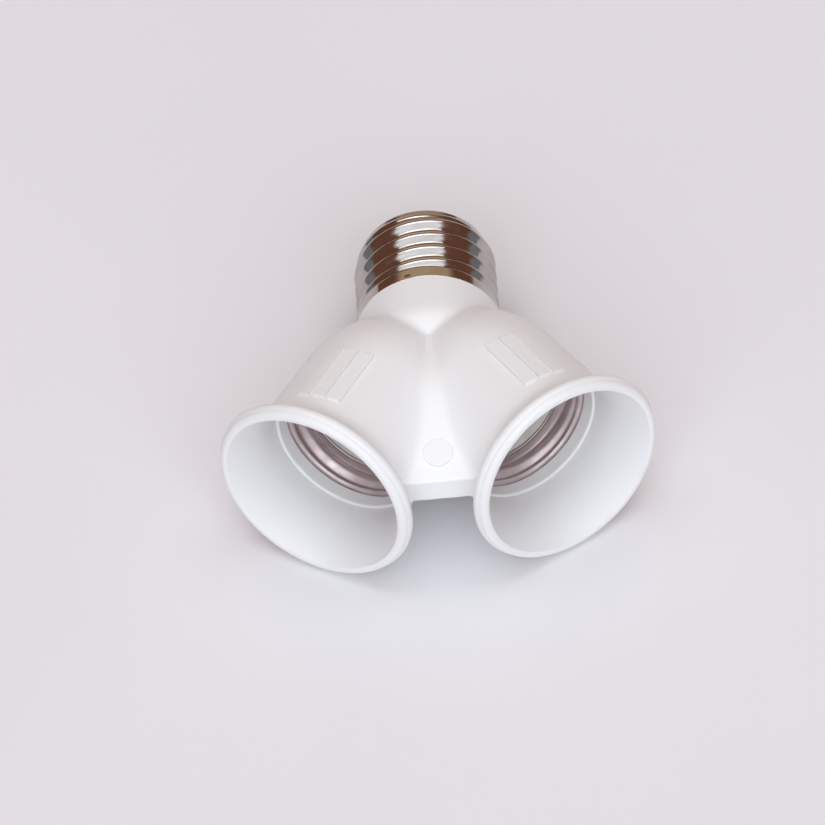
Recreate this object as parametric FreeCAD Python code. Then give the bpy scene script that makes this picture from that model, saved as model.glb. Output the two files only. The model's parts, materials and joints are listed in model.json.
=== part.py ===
# A Y-shaped lamp adapter: one round screw cap feeds two screw lampholders that stand
# 60 degrees apart. It is modelled lying on a table, as it comes to rest: on the lowest
# points of both flared rims and on the last thread crest of the cap.
#
# Every size is in millimetres. Three frames are used. The cap frame and each barrel
# frame have their own axis along +Z. The body frame has the axis of the cap along +Y,
# the barrels in the XY plane and the point where the three axes meet at its origin.
# The last step tips the body frame until it rests on Z = 0.

import FreeCAD, Part
import math
import os
from FreeCAD import Matrix, Placement, Rotation, Vector

os.makedirs("parts", exist_ok=True)

# The round screw thread, common to the cap and to both holders. The shells are plain
# here: the cap has its crest radius, a holder its widest radius, so a lamp cap or a
# holder that is tried on them finds the room that the rolled thread leaves.
PITCH = 3.629                 # seven threads to the inch
THREAD_DEPTH = 1.10           # from crest to root
CAP_CREST_R = 13.20           # outside of the cap at a crest
CAP_ROOT_R = CAP_CREST_R - THREAD_DEPTH
CAP_WALL = 0.30               # sheet of the cap shell
HOLDER_CREST_R = 13.35        # inside of a holder shell at its widest
HOLDER_WALL = 0.35            # sheet of the holder shell

# What is stacked in a barrel, outwards from the thread
BEAD_REACH = 0.40             # the shell's rolled-out front edge, beyond its outside
BEAD_R = HOLDER_CREST_R + HOLDER_WALL + BEAD_REACH
BEAD_GAP = 0.15               # play between that edge and the bore
BORE_R = BEAD_R + BEAD_GAP    # bore that takes collar, shell and base
LEDGE_WIDTH = 1.95            # ledge that the base sits on
LEDGE_R = BORE_R - LEDGE_WIDTH

# What is stacked in a barrel, along its axis from the ledge to the flare
SEAT_GAP = 0.10               # play between two pieces that follow each other
LEDGE = 23.5
BASE_FLANGE = 1.2
BASE_TOP = LEDGE + SEAT_GAP + BASE_FLANGE
SHELL_LENGTH = 5.4
SHELL_BACK = BASE_TOP + SEAT_GAP
SHELL_FRONT = SHELL_BACK + SHELL_LENGTH
GUARD_LENGTH = 2.8            # collar in front of the shell
COLLAR_BACK = SHELL_FRONT + SEAT_GAP
COLLAR_FRONT = COLLAR_BACK + GUARD_LENGTH
BORE_FRONT = COLLAR_FRONT + SEAT_GAP  # where the bore opens into the flare

# The Y-shaped housing
HALF_SPREAD = 30.0            # from the axis of the cap to the axis of a barrel, degrees
BAND_DROP = 0.10              # the cap's plain band is lower than its crests
COLLAR_R = CAP_CREST_R - BAND_DROP
NECK_R = 13.40
NECK_FACE = 1.10              # where the neck ends and the cap shell begins
NECK_BEND = -6.5              # where the neck begins to round off between the barrels
NECK_ROOT = -13.2             # where it has run into the valley between them
NECK_ROOT_SINK = 0.975393     # how far its end lies under the bare valley there
NECK_CREASE_R = 2.0           # soft crease between neck and shoulders
BARREL_WALL = 0.85            # wall round the bore, where the barrel is thinnest
BARREL_DRAFT = 0.30           # how much wider it is at its front
BARREL_START_R = BORE_R + BARREL_WALL
BARREL_END_R = BARREL_START_R + BARREL_DRAFT
DOME_START = 8.0              # along a barrel, from the point where the axes meet
DOME_MID = 15.5
BARREL_START_BACK = 1.3       # the dome ends this far behind the ledge
BARREL_START = LEDGE - BARREL_START_BACK
DOME_START_DROP = 4.30        # how far the dome has rounded off at its start
DOME_MID_DROP = 1.00
DOME_START_R = BARREL_START_R - DOME_START_DROP
DOME_MID_R = BARREL_START_R - DOME_MID_DROP
COVE_BEHIND = 4.7             # from the end of the bore to the start of the cove
BARREL_END = BORE_FRONT + COVE_BEHIND
RIM_LENGTH = 6.2              # from there to where the rim is widest
RIM_CREST = BARREL_END + RIM_LENGTH
RIM_ROUND = 2.2               # from there to the foremost point of the rim
RIM_FACE = RIM_CREST + RIM_ROUND
RIM_FLARE = 3.80              # how far the rim stands out from the barrel
RIM_R = BARREL_END_R + RIM_FLARE
RIM_WIDTH = 1.95              # from its widest circle in to its inner edge
RIM_INNER_R = RIM_R - RIM_WIDTH
HOUSING_WALL = 1.70           # wall of the domed shoulders
NECK_WALL = 2.60
NECK_BORE_R = NECK_R - NECK_WALL
NECK_HOLLOW_END = -11.8       # where the hollow of the neck opens into both barrels
NECK_ROOT_WALL = 0.60         # wall where the neck has run into the valley

# Grip ribs on the barrels, above and below
RIB_ANGLES = (19.0, 7.5, -4.0)   # from the top of a barrel, outwards
RIB_SPAN = 8.4                # width of a rib, degrees
RIB_HEIGHT = 0.42
RIB_START_GAP = 1.1           # from the end of the dome to the ribs
RIB_END_GAP = 0.8             # from the ribs to the cove
RIB_START = BARREL_START + RIB_START_GAP
RIB_END = BARREL_END - RIB_END_GAP

# The web between the barrels. Each station is a place along it, how far its upper
# face lies below the tops of the barrels and half the width of its soft blend.
WEB_FRONT = -42.5
WEB_DROPS = (
    (-9.6, 4.80, 1.5), (-11.0, 4.35, 1.6), (-12.5, 4.00, 1.8), (-14.5, 3.75, 2.0),
    (-17.0, 3.60, 2.1), (-19.5, 3.55, 2.2), (-22.0, 3.65, 2.2), (-24.5, 4.10, 2.2),
    (-28.0, 5.30, 2.1), (-32.0, 7.30, 2.0), (-37.0, 9.90, 1.8), (WEB_FRONT, 12.20, 1.4),
)
WEB_STATIONS = [(place, BARREL_START_R - drop, blend) for place, drop, blend in WEB_DROPS]
WEB_LOWER = 1.1               # how much nearer the lower face is to the middle plane
WEB_LIFT = 0.35               # least height above the bare valley between the domes
WEB_ENTRY = 8.0               # angle at which the blend enters a barrel, degrees
WEB_TUCK = 1.5                # how far the blend runs on inside a barrel
WEB_EDGE_R = 0.5              # rounding of the front edges
PAD_R = 2.70                  # round pad on the upper face of the web
PAD_PLACE = -37.4
PAD_BACK_HEIGHT = 0.15        # height of its top over the web, at its back
PAD_TILT = 18.0               # slope of its top, degrees: less than the web's

# Spigot of the neck, inside the cap shell
SPIGOT_STEP = 2.4             # length of the thick part under the plain collar
SPIGOT_END = 6.2              # length of the whole spigot
SPIGOT_WALL = 2.0
SPIGOT_CLEARANCE = 0.10
SPIGOT_DRAFT = 0.10           # the thin part's extra room under the roots
SPIGOT_THIN_R = CAP_ROOT_R - CAP_WALL - SPIGOT_CLEARANCE - SPIGOT_DRAFT
SPIGOT_BORE_R = SPIGOT_THIN_R - SPIGOT_WALL

# Cap shell and its insulator and contact
COLLAR_LENGTH = 2.60          # plain band at the open end of the cap shell
COLLAR_STEP = 0.40            # length of the slope from the band up to the crests
CAP_TURNS = 4.25              # turns of thread on the cap
SHOULDER_LENGTH = 2.4         # turned-in end of the shell
SHOULDER_TURN_IN = 2.3        # how far it turns in, from the roots
SHOULDER_LIP_R = CAP_ROOT_R - SHOULDER_TURN_IN
CREST_PLACE = 12.75           # where a crest crosses the top line of the cap
STAKES = 8                    # punch dents that hold the shell on its spigot
STAKE_BALL_R = 0.80
STAKE_DEPTH = 0.20
STAKE_ANGLE = -13.0
INSULATOR_GAP = 0.20
INSULATOR_DEPTH = 2.6
INSULATOR_NOSE = 2.5
INSULATOR_NOSE_R = 5.8
CONTACT_R = 5.2
CONTACT_HEIGHT = 1.1
LEAD_HOLE_R = 1.6
SOLDER_R = 2.7
SOLDER_HEIGHT = 0.9

# Collar in the mouth of each holder
COLLAR_FIT = 0.05             # gap round the collar in its bore
COLLAR_WALL = 0.45
COLLAR_INNER_R = BORE_R - COLLAR_FIT - COLLAR_WALL

# Holder shell
BEAD_HEIGHT = 0.35            # rolled-out front edge
FLOOR_TURN_IN = 1.75          # turned-in floor of the shell, from its widest
SHELL_LIP_R = HOLDER_CREST_R - FLOOR_TURN_IN
TAB_WIDTH = 4.0
TAB_INSET = 1.30              # inner face of the fixing tabs, from the shell's widest
TAB_R = HOLDER_CREST_R - TAB_INSET
TAB_REACH = 4.3               # how far the tabs pass behind the floor
TAB_FIT = 0.15

# Insulating base of each holder
FLANGE_FIT = 0.20             # gap round the flange in its bore
BASE_FLANGE_R = BORE_R - FLANGE_FIT
MOUTH_STEP = 0.10             # the mouth is narrower than the shell's floor
BASE_MOUTH_R = SHELL_LIP_R - MOUTH_STEP
BASE_FIT = 0.40               # gap between the cup and the ledge
BASE_OUTER_R = LEDGE_R - BASE_FIT
WAIST_DEPTH = 4.6             # from the flange's top to the waist
BASE_WAIST = BASE_TOP - WAIST_DEPTH
BASE_WAIST_R = 8.6
FLOOR_DEPTH = 8.7             # from the flange's top to the floor
BASE_FLOOR = BASE_TOP - FLOOR_DEPTH
BASE_FLOOR_R = 7.2            # room for the contact strip
BASE_WALL = 1.2
CENTRE_GAP = 0.30             # between each base and the plane of symmetry

# Centre contact: a sprung strip that rocks on its rivet
STRIP_THICKNESS = 0.40
STRIP_WIDTH = 4.8
STRIP_SEAT = 0.40             # gap between strip and floor, for the rocking
STRIP_RISE = 2.7              # height of the touching point above the foot
STRIP_TOUCH = -1.2            # the touching point, across the axis
STRIP_TIP = -3.6
STRIP_TIP_DROP = 0.6
RIVET_PLACE = 4.6
RIVET_R = 0.80
RIVET_HEAD_R = 1.40
RIVET_HEAD = 0.60
RIVET_HEAD_GAP = 0.30
RIVET_HOLE_R = 1.10
FOOT_OUTER = 1.6              # from the rivet to the end of the foot
FOOT_INNER = 2.1              # from the rivet to the first bend
SEAT_R = 1.0
SEAT_HEIGHT = 0.15

# Leads and their joints
LEAD_R = 0.90
CONDUCTOR_R = 0.35
LEAD_SPACING = 1.0
JOINT_R = 1.2
LEAD_BEND = 5.0

UP = Vector(0, 0, 1)
COS = math.cos(math.radians(HALF_SPREAD))
SIN = math.sin(math.radians(HALF_SPREAD))


def outline(points):
    """Edges of a closed outline in the XZ plane. A point is (radius, height), and a
    pair of points in a row is the middle and the end of an arc."""
    edges = []
    last = Vector(points[0][0], 0, points[0][1])
    first = last
    for point in points[1:] + [points[0]]:
        if isinstance(point[0], tuple):
            middle = Vector(point[0][0], 0, point[0][1])
            end = Vector(point[1][0], 0, point[1][1])
            edges.append(Part.Arc(last, middle, end).toShape())
        else:
            end = Vector(point[0], 0, point[1])
            if end.distanceToPoint(last) < 1e-7:
                continue
            edges.append(Part.LineSegment(last, end).toShape())
        last = end
    if last.distanceToPoint(first) > 1e-7:
        edges.append(Part.LineSegment(last, first).toShape())
    return edges


def revolved(points):
    """Turn a closed outline about Z."""
    face = Part.Face(Part.Wire(outline(points)))
    return face.revolve(Vector(0, 0, 0), UP, 360)


def cap_to_body(shape):
    """Lay a shape from the cap frame into the body frame: Z becomes Y, X stays."""
    turned = shape.copy()
    lay = Placement(Vector(0, 0, 0), Rotation(Vector(1, 0, 0), -90))
    turned.Placement = lay.multiply(turned.Placement)
    return turned


def barrel_to_body(shape, side):
    """Lay a shape from a barrel frame into the body frame. The side is -1 or 1, and
    the frame's X points to the right on both sides, so that no thread is mirrored."""
    turned = shape.copy()
    across = Vector(COS, side * SIN, 0)
    along = Vector(side * SIN, -COS, 0)
    matrix = Matrix(across.x, 0, along.x, 0,
                    across.y, 0, along.y, 0,
                    0, 1, 0, 0,
                    0, 0, 0, 1)
    turned.Placement = Placement(matrix).multiply(turned.Placement)
    return turned


def outwards(shape, side):
    """Turn a shape that is built with its outer side at +X to suit its barrel."""
    if side > 0:
        return shape
    turned = shape.copy()
    turned.rotate(Vector(0, 0, 0), UP, 180)
    return turned


# Housing

def barrel_points():
    """Outline of one barrel: domed shoulder, tapered barrel, cove and rounded rim."""
    return [
        (0, DOME_START),
        (DOME_START_R, DOME_START),
        ((DOME_MID_R, DOME_MID), (BARREL_START_R, BARREL_START)),
        (BARREL_END_R, BARREL_END),
        ((BARREL_END_R + 0.95, BARREL_END + 3.5), (RIM_R - 0.6, RIM_CREST - 0.8)),
        ((RIM_R, RIM_CREST), (RIM_R - 0.3, RIM_CREST + 1.2)),
        ((RIM_R - 1.05, RIM_FACE), (RIM_INNER_R, RIM_FACE - 0.05)),
        (0, RIM_FACE - 0.05),
    ]


def barrel_outline():
    return outline(barrel_points())


def barrel_skin():
    return revolved(barrel_points())


def barrel_hollow():
    """Everything that is open inside one barrel, from the flare to the shoulder."""
    mouth = RIM_FACE - 0.05
    past = mouth + 2
    flare_mid = BORE_FRONT + 7.0
    return revolved([
        (0, past),
        (RIM_INNER_R + 0.9, past),
        (RIM_INNER_R, mouth),
        ((BORE_R + 0.75, flare_mid), (BORE_R, BORE_FRONT)),
        (BORE_R, LEDGE),
        (LEDGE_R, LEDGE),
        (DOME_MID_R - HOUSING_WALL, DOME_MID + 1.0),
        (DOME_START_R - HOUSING_WALL, DOME_START + 1.0),
        (0, DOME_START + 1.0),
    ])


def ribs():
    """Flat raised grip ribs along one barrel, with its outer side at +X."""
    taper = (BARREL_END_R - BARREL_START_R) / (BARREL_END - BARREL_START)
    made = []
    for angle in RIB_ANGLES:
        for facing in (90, -90):
            low = BARREL_START_R + taper * (RIB_START - BARREL_START)
            high = BARREL_START_R + taper * (RIB_END - BARREL_START)
            profile = Part.makePolygon([
                Vector(low - 0.6, 0, RIB_START),
                Vector(low, 0, RIB_START),
                Vector(low + RIB_HEIGHT, 0, RIB_START + RIB_HEIGHT),
                Vector(high + RIB_HEIGHT, 0, RIB_END - RIB_HEIGHT),
                Vector(high, 0, RIB_END),
                Vector(high - 0.6, 0, RIB_END),
                Vector(low - 0.6, 0, RIB_START),
            ])
            rib = Part.Face(profile).revolve(Vector(0, 0, 0), UP, RIB_SPAN)
            turn = facing - math.copysign(1, facing) * angle - RIB_SPAN / 2
            rib.rotate(Vector(0, 0, 0), UP, turn)
            made.append(rib)
    return made


def barrel_radius(place):
    """Outer radius of a barrel at a place along its axis."""
    level = Part.makeLine(Vector(0, 0, place), Vector(40, 0, place))
    skin = [edge for edge in barrel_outline() if edge.BoundBox.XMin > 1.0]
    meets = [edge.distToShape(level) for edge in skin]
    return max(meet[1][0][0].x for meet in meets if meet[0] < 1e-6)


def barrel_height(x, y):
    """Height of the right barrel's skin over a point of the body's middle plane."""
    across = x * COS + y * SIN
    radius = barrel_radius(x * SIN - y * COS)
    return math.sqrt(max(radius ** 2 - across ** 2, 0.0))


def web_curve(y, height, blend):
    """One curve across the web, from inside the left barrel to inside the right one."""
    height = max(height, barrel_height(0, y) + WEB_LIFT)
    meet = 0.0
    while barrel_height(meet, y) < height:
        meet += 0.05
    outer = meet + blend
    rise = (barrel_height(outer + 0.05, y) - barrel_height(outer - 0.05, y)) / 0.1
    angle = math.atan(rise) - math.radians(WEB_ENTRY)
    away = Vector(math.cos(angle), 0, math.sin(angle))
    start = Vector(max(meet - blend, 0.3), y, height)
    end = Vector(outer, y, barrel_height(outer, y))
    pull = 0.38 * (end - start).Length
    bend = Part.BezierCurve()
    bend.setPoles([start, start + Vector(pull, 0, 0), end - away * pull, end])
    half = Part.Wire([
        Part.makeLine(Vector(0, y, height), start),
        bend.toShape(),
        Part.makeLine(end, end + away * WEB_TUCK),
    ])
    right = half.discretize(Number=10)
    left = [Vector(-point.x, point.y, point.z) for point in right[:0:-1]]
    points = left + right
    steps = [i / (len(points) - 1) for i in range(len(points))]
    curve = Part.BSplineCurve()
    curve.interpolate(Points=points, Parameters=steps)
    return curve.toShape()


def web():
    """The web between the barrels, in the body frame. It is lofted through sections
    that run across it, and each section blends into both barrels."""
    sections = []
    for y, height, blend in WEB_STATIONS:
        upper = web_curve(y, height, blend)
        lower = web_curve(y, height - WEB_LOWER, blend).mirror(Vector(0, 0, 0), UP)
        ends = [(curve.valueAt(curve.FirstParameter), curve.valueAt(curve.LastParameter))
                for curve in (upper, lower)]
        sections.append(Part.Wire([
            upper,
            Part.makeLine(ends[0][1], ends[1][1]),
            lower,
            Part.makeLine(ends[1][0], ends[0][0]),
        ]))
    loft = Part.makeLoft(sections, True, False)
    front = [edge for edge in loft.Edges if abs(edge.BoundBox.YMin - WEB_FRONT) < 0.01
             and edge.BoundBox.YLength < 0.01 and edge.BoundBox.XLength > 1.0]
    return loft.makeFillet(WEB_EDGE_R, front)


def pad():
    """The round pad that stands on the upper face of the web. Its top is less steep
    than the web, so that it is highest at its front."""
    before, after = WEB_STATIONS[-2], WEB_STATIONS[-1]
    slope = (before[1] - after[1]) / (before[0] - after[0])
    foot = Vector(0, PAD_PLACE, after[1] + (PAD_PLACE - after[0]) * slope)
    tilt = math.radians(PAD_TILT)
    normal = Vector(0, -math.sin(tilt), math.cos(tilt))
    height = PAD_BACK_HEIGHT + PAD_R * math.sin(math.atan(slope) - tilt)
    disc = Part.makeCylinder(PAD_R, height + 1.5, foot - normal * 1.5, normal)
    rims = [e for e in disc.Edges if (e.CenterOfMass - foot).dot(normal) > height - 0.01]
    return disc.makeFillet(0.25, rims)


def neck_root_radius():
    """The neck draws in until its end lies inside the barrels, whatever their spread."""
    return barrel_height(0, NECK_ROOT) - NECK_ROOT_SINK


def neck():
    """Neck and its stepped spigot, in the cap frame. Its root rounds off towards the
    axis with an arc that leaves the cylinder smoothly."""
    root_r = neck_root_radius()
    drop = NECK_R - root_r
    run = NECK_BEND - NECK_ROOT
    bend_r = (drop ** 2 + run ** 2) / (2 * drop)
    half = math.asin(run / bend_r) / 2
    bend_middle = (NECK_R - bend_r * (1 - math.cos(half)), NECK_BEND - bend_r * math.sin(half))
    step_r = COLLAR_R - CAP_WALL - SPIGOT_CLEARANCE
    return revolved([
        (0, NECK_ROOT),
        (root_r, NECK_ROOT),
        (bend_middle, (NECK_R, NECK_BEND)),
        (NECK_R, NECK_FACE - 0.3),
        (NECK_R - 0.3, NECK_FACE),
        (step_r, NECK_FACE),
        (step_r, NECK_FACE + SPIGOT_STEP),
        (SPIGOT_THIN_R, NECK_FACE + SPIGOT_STEP + 0.6),
        (SPIGOT_THIN_R, NECK_FACE + SPIGOT_END),
        (0, NECK_FACE + SPIGOT_END),
    ])


def neck_hollow():
    """The open inside of neck and spigot. It narrows where the neck rounds off."""
    end = NECK_FACE + SPIGOT_END + 1
    return revolved([
        (0, NECK_HOLLOW_END),
        (neck_root_radius() - NECK_ROOT_WALL, NECK_HOLLOW_END),
        (NECK_BORE_R, NECK_BEND),
        (NECK_BORE_R, NECK_FACE - 1.1),
        (SPIGOT_BORE_R, NECK_FACE),
        (SPIGOT_BORE_R, end),
        (0, end),
    ])


def softened_neck():
    """Neck and both barrels in one, with the creases between neck and domes rounded."""
    body = cap_to_body(neck())
    for side in (-1, 1):
        body = body.fuse(barrel_to_body(outwards(barrel_skin(), side), side))
    body = body.removeSplitter()
    creases = []
    for edge in body.Edges:
        middle = edge.valueAt((edge.FirstParameter + edge.LastParameter) / 2)
        curved = edge.Curve.TypeId == "Part::GeomBSplineCurve"
        if curved and middle.y > NECK_ROOT and abs(middle.x) > 0.3:
            creases.append(edge)
    return body.makeFillet(NECK_CREASE_R, creases)


def housing():
    body = softened_neck().fuse(web())
    for side in (-1, 1):
        for rib in ribs():
            body = body.fuse(barrel_to_body(outwards(rib, side), side))
    body = body.fuse(pad())
    for side in (-1, 1):
        body = body.cut(barrel_to_body(barrel_hollow(), side))
    body = body.cut(cap_to_body(neck_hollow()))
    return body.removeSplitter()


# Cap

def cap_sizes():
    """Places along the cap: end of the plain band, end of the thread, end of the shell."""
    collar_end = NECK_FACE + COLLAR_LENGTH
    thread_end = collar_end + COLLAR_STEP + CAP_TURNS * PITCH
    return collar_end, thread_end, thread_end + SHOULDER_LENGTH


def cap_shell():
    """Sheet-metal shell: plain band, threaded length, shoulder turned in at the end."""
    collar_end, thread_end, shell_end = cap_sizes()
    bend = thread_end + 0.62 * SHOULDER_LENGTH
    bend_r = CAP_CREST_R - 0.2 * (CAP_CREST_R - SHOULDER_LIP_R)
    shell = revolved([
        (COLLAR_R, NECK_FACE),
        (COLLAR_R, collar_end),
        (CAP_CREST_R, collar_end + COLLAR_STEP),
        (CAP_CREST_R, thread_end),
        ((bend_r, bend), (SHOULDER_LIP_R, shell_end)),
        (SHOULDER_LIP_R, shell_end - CAP_WALL),
        ((bend_r - CAP_WALL, bend - 0.5 * CAP_WALL), (CAP_CREST_R - CAP_WALL, thread_end)),
        (CAP_CREST_R - CAP_WALL, collar_end + COLLAR_STEP),
        (COLLAR_R - CAP_WALL, collar_end),
        (COLLAR_R - CAP_WALL, NECK_FACE),
    ])
    for i in range(STAKES):
        angle = math.radians(STAKE_ANGLE + 360 / STAKES * i)
        reach = COLLAR_R + STAKE_BALL_R - STAKE_DEPTH
        spot = Vector(reach * math.sin(angle), -reach * math.cos(angle), NECK_FACE + 0.7)
        shell = shell.cut(Part.makeSphere(STAKE_BALL_R, spot))
    return shell


def cap_insulator():
    """Glassy plug that fills the end of the shell and keeps the contact apart."""
    thread_end, shell_end = cap_sizes()[1:]
    wide = CAP_ROOT_R - CAP_WALL - INSULATOR_GAP
    lip = SHOULDER_LIP_R - INSULATOR_GAP
    seat = shell_end - CAP_WALL - INSULATOR_GAP
    nose = shell_end + INSULATOR_NOSE
    return revolved([
        (LEAD_HOLE_R, shell_end - INSULATOR_DEPTH - 0.8),
        (wide - 1.6, shell_end - INSULATOR_DEPTH - 0.8),
        (wide, shell_end - INSULATOR_DEPTH + 0.5),
        (wide, thread_end + 0.3),
        (lip + 0.3, seat),
        (lip, seat + 0.3),
        (lip, shell_end + 0.2),
        ((lip - 1.4, shell_end + 0.5 * INSULATOR_NOSE), (INSULATOR_NOSE_R, nose)),
        (LEAD_HOLE_R, nose),
    ])


def cap_contact():
    """Round contact plate on the nose of the plug, with a hole for the leads."""
    base = cap_sizes()[2] + INSULATOR_NOSE + 0.05
    return revolved([
        (LEAD_HOLE_R, base),
        (CONTACT_R, base),
        ((CONTACT_R - 0.1, base + 0.5 * CONTACT_HEIGHT), (CONTACT_R - 0.9, base + CONTACT_HEIGHT)),
        (LEAD_HOLE_R, base + CONTACT_HEIGHT),
    ])


def cap_solder(leads):
    """Solder that closes the hole in the contact plate over both lead ends."""
    plate = cap_sizes()[2] + INSULATOR_NOSE + 0.05
    top = plate + CONTACT_HEIGHT
    plug = LEAD_HOLE_R - 0.05
    blob = revolved([
        (0, plate),
        (plug, plate),
        (plug, top + 0.02),
        (SOLDER_R, top + 0.02),
        ((SOLDER_R * 0.72, top + 0.7 * SOLDER_HEIGHT), (0.2, top + SOLDER_HEIGHT)),
        (0, top + SOLDER_HEIGHT),
    ])
    for lead in leads:
        blob = blob.cut(lead)
    return blob


# One holder, in its barrel frame with its outer side at +X

def holder_collar():
    """Guard ring in front of the live shell. Its front edge is rounded off."""
    outer = BORE_R - COLLAR_FIT
    return revolved([
        (COLLAR_INNER_R, COLLAR_BACK),
        (outer, COLLAR_BACK),
        (outer, COLLAR_FRONT),
        ((COLLAR_INNER_R + 0.15, COLLAR_FRONT - 0.12), (COLLAR_INNER_R, COLLAR_FRONT - 0.5)),
    ])


def tabs(side_gap, face_gap, reach):
    """Two straight tabs behind the floor of the shell, above and below."""
    made = []
    for facing in (1, -1):
        width = TAB_WIDTH + 2 * side_gap
        low = TAB_R - HOLDER_WALL - face_gap
        tab = Part.makeBox(width, HOLDER_WALL + 2 * face_gap, reach + 0.2,
                           Vector(-width / 2, low, SHELL_BACK - reach))
        if facing < 0:
            tab.rotate(Vector(0, 0, 0), UP, 180)
        made.append(tab)
    return made


def holder_shell():
    """Sheet-metal shell: rolled-out front edge, threaded length, turned-in floor, tabs."""
    outer = HOLDER_CREST_R + HOLDER_WALL
    shell = revolved([
        (SHELL_LIP_R, SHELL_BACK),
        (outer, SHELL_BACK),
        (outer, SHELL_FRONT - BEAD_HEIGHT),
        (BEAD_R, SHELL_FRONT - BEAD_HEIGHT),
        (BEAD_R, SHELL_FRONT),
        (HOLDER_CREST_R, SHELL_FRONT),
        (HOLDER_CREST_R, SHELL_BACK + HOLDER_WALL),
        (SHELL_LIP_R, SHELL_BACK + HOLDER_WALL),
    ])
    for tab in tabs(0, 0, TAB_REACH):
        shell = shell.fuse(tab)
    return shell.removeSplitter()


def holder_base():
    """Moulded cup with a flange: it carries the shell and, on its floor, the strip."""
    flange = BASE_TOP - BASE_FLANGE
    cup = revolved([
        (0, BASE_FLOOR - BASE_WALL),
        (BASE_FLOOR_R + BASE_WALL, BASE_FLOOR - BASE_WALL),
        (BASE_WAIST_R + BASE_WALL, BASE_WAIST - 0.3),
        (BASE_OUTER_R, flange),
        (BASE_FLANGE_R, flange),
        (BASE_FLANGE_R, BASE_TOP),
        (BASE_MOUTH_R, BASE_TOP),
        (BASE_WAIST_R, BASE_WAIST),
        (BASE_FLOOR_R, BASE_FLOOR),
        (0, BASE_FLOOR),
    ])
    seat = Part.makeCylinder(SEAT_R, SEAT_HEIGHT, Vector(RIVET_PLACE, 0, BASE_FLOOR), UP)
    cup = cup.fuse(seat)
    for slot in tabs(TAB_FIT, TAB_FIT, TAB_REACH + 1.0):
        cup = cup.cut(slot)
    hole = Part.makeCylinder(RIVET_R + 0.05, 10, Vector(RIVET_PLACE, 0, BASE_FLOOR - 5), UP)
    return cup.cut(hole)


def trimmed_at_centre(shape, side):
    """Cut a flat on a base where the two bases meet on the plane of symmetry."""
    block = Part.makeBox(60, 120, 60, Vector(-60 + CENTRE_GAP, -100, -30))
    if side < 0:
        block = Part.makeBox(60, 120, 60, Vector(-CENTRE_GAP, -100, -30))
    return shape.cut(block)


def strip_level():
    return BASE_FLOOR + STRIP_SEAT


def contact_strip():
    """Bent strip: flat foot with the rivet's hole, a rising arm, a tip that curls down."""
    low = strip_level()
    line = [
        (RIVET_PLACE + FOOT_OUTER, low),
        (RIVET_PLACE - FOOT_INNER, low),
        (STRIP_TOUCH, low + STRIP_RISE),
        (STRIP_TIP, low + STRIP_RISE - STRIP_TIP_DROP),
    ]
    upper = []
    for i, (x, z) in enumerate(line):
        before = line[max(0, i - 1)]
        after = line[min(len(line) - 1, i + 1)]
        first = math.atan2(z - before[1], x - before[0]) if i else None
        second = math.atan2(after[1] - z, after[0] - x) if i < len(line) - 1 else None
        if first is None:
            first = second
        if second is None:
            second = first
        mean = (first % (2 * math.pi) + second % (2 * math.pi)) / 2
        reach = STRIP_THICKNESS / math.cos((first % (2 * math.pi) - second % (2 * math.pi)) / 2)
        upper.append((x + reach * math.sin(mean), z - reach * math.cos(mean)))
    outline = [Vector(x, -STRIP_WIDTH / 2, z) for x, z in line + upper[::-1] + line[:1]]
    strip = Part.Face(Part.makePolygon(outline)).extrude(Vector(0, STRIP_WIDTH, 0))
    bends = [e for e in strip.Edges
             if abs(abs(e.tangentAt(e.FirstParameter).y) - 1) < 1e-6
             and STRIP_TIP + 0.8 < e.CenterOfMass.x < RIVET_PLACE]
    strip = strip.makeFillet(0.5, bends)
    hole = Part.makeCylinder(RIVET_HOLE_R, 4, Vector(RIVET_PLACE, 0, low - 2), UP)
    return strip.cut(hole)


def contact_rivet():
    """Rivet through strip and floor: domed head above, flat tail below."""
    head = strip_level() + STRIP_THICKNESS + RIVET_HEAD_GAP
    tail = BASE_FLOOR - BASE_WALL - 0.05
    rivet = revolved([
        (0, tail - RIVET_HEAD),
        (RIVET_HEAD_R, tail - RIVET_HEAD),
        (RIVET_HEAD_R, tail),
        (RIVET_R, tail),
        (RIVET_R, head),
        (RIVET_HEAD_R, head),
        ((RIVET_HEAD_R * 0.72, head + RIVET_HEAD * 0.72), (0.1, head + RIVET_HEAD)),
        (0, head + RIVET_HEAD),
    ])
    rivet.translate(Vector(RIVET_PLACE, 0, 0))
    return rivet


# Leads and solder, in the body frame

def barrel_point(side, x_out, y, z):
    """A point of a barrel frame, given outwards, in the body frame."""
    across = Vector(side * COS, SIN, 0)
    along = Vector(side * SIN, -COS, 0)
    return across * x_out + UP * y + along * z


def bent_wire(points, radius, bend):
    """A round wire along straight runs that are joined by tangent arcs."""
    edges = []
    start = points[0]
    for i in range(1, len(points) - 1):
        corner = points[i]
        back = (points[i - 1] - corner).normalize()
        ahead = (points[i + 1] - corner).normalize()
        half = back.getAngle(ahead) / 2
        room = 0.45 * min((points[i - 1] - corner).Length, (points[i + 1] - corner).Length)
        reach = min(room, bend / math.tan(half))
        arc_r = reach * math.tan(half)
        middle = (back + ahead).normalize()
        centre = corner + middle * (arc_r / math.sin(half))
        enter = corner + back * reach
        leave = corner + ahead * reach
        edges.append(Part.LineSegment(start, enter).toShape())
        edges.append(Part.Arc(enter, centre - middle * arc_r, leave).toShape())
        start = leave
    edges.append(Part.LineSegment(start, points[-1]).toShape())
    ring = Part.Wire(Part.makeCircle(radius, points[0], points[1] - points[0]))
    return Part.Wire(edges).makePipeShell([ring], True, False)


def rivet_tail(side):
    """Middle of the flat tail of a contact rivet."""
    return barrel_point(side, RIVET_PLACE, 0, BASE_FLOOR - BASE_WALL - 0.05 - RIVET_HEAD)


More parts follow.
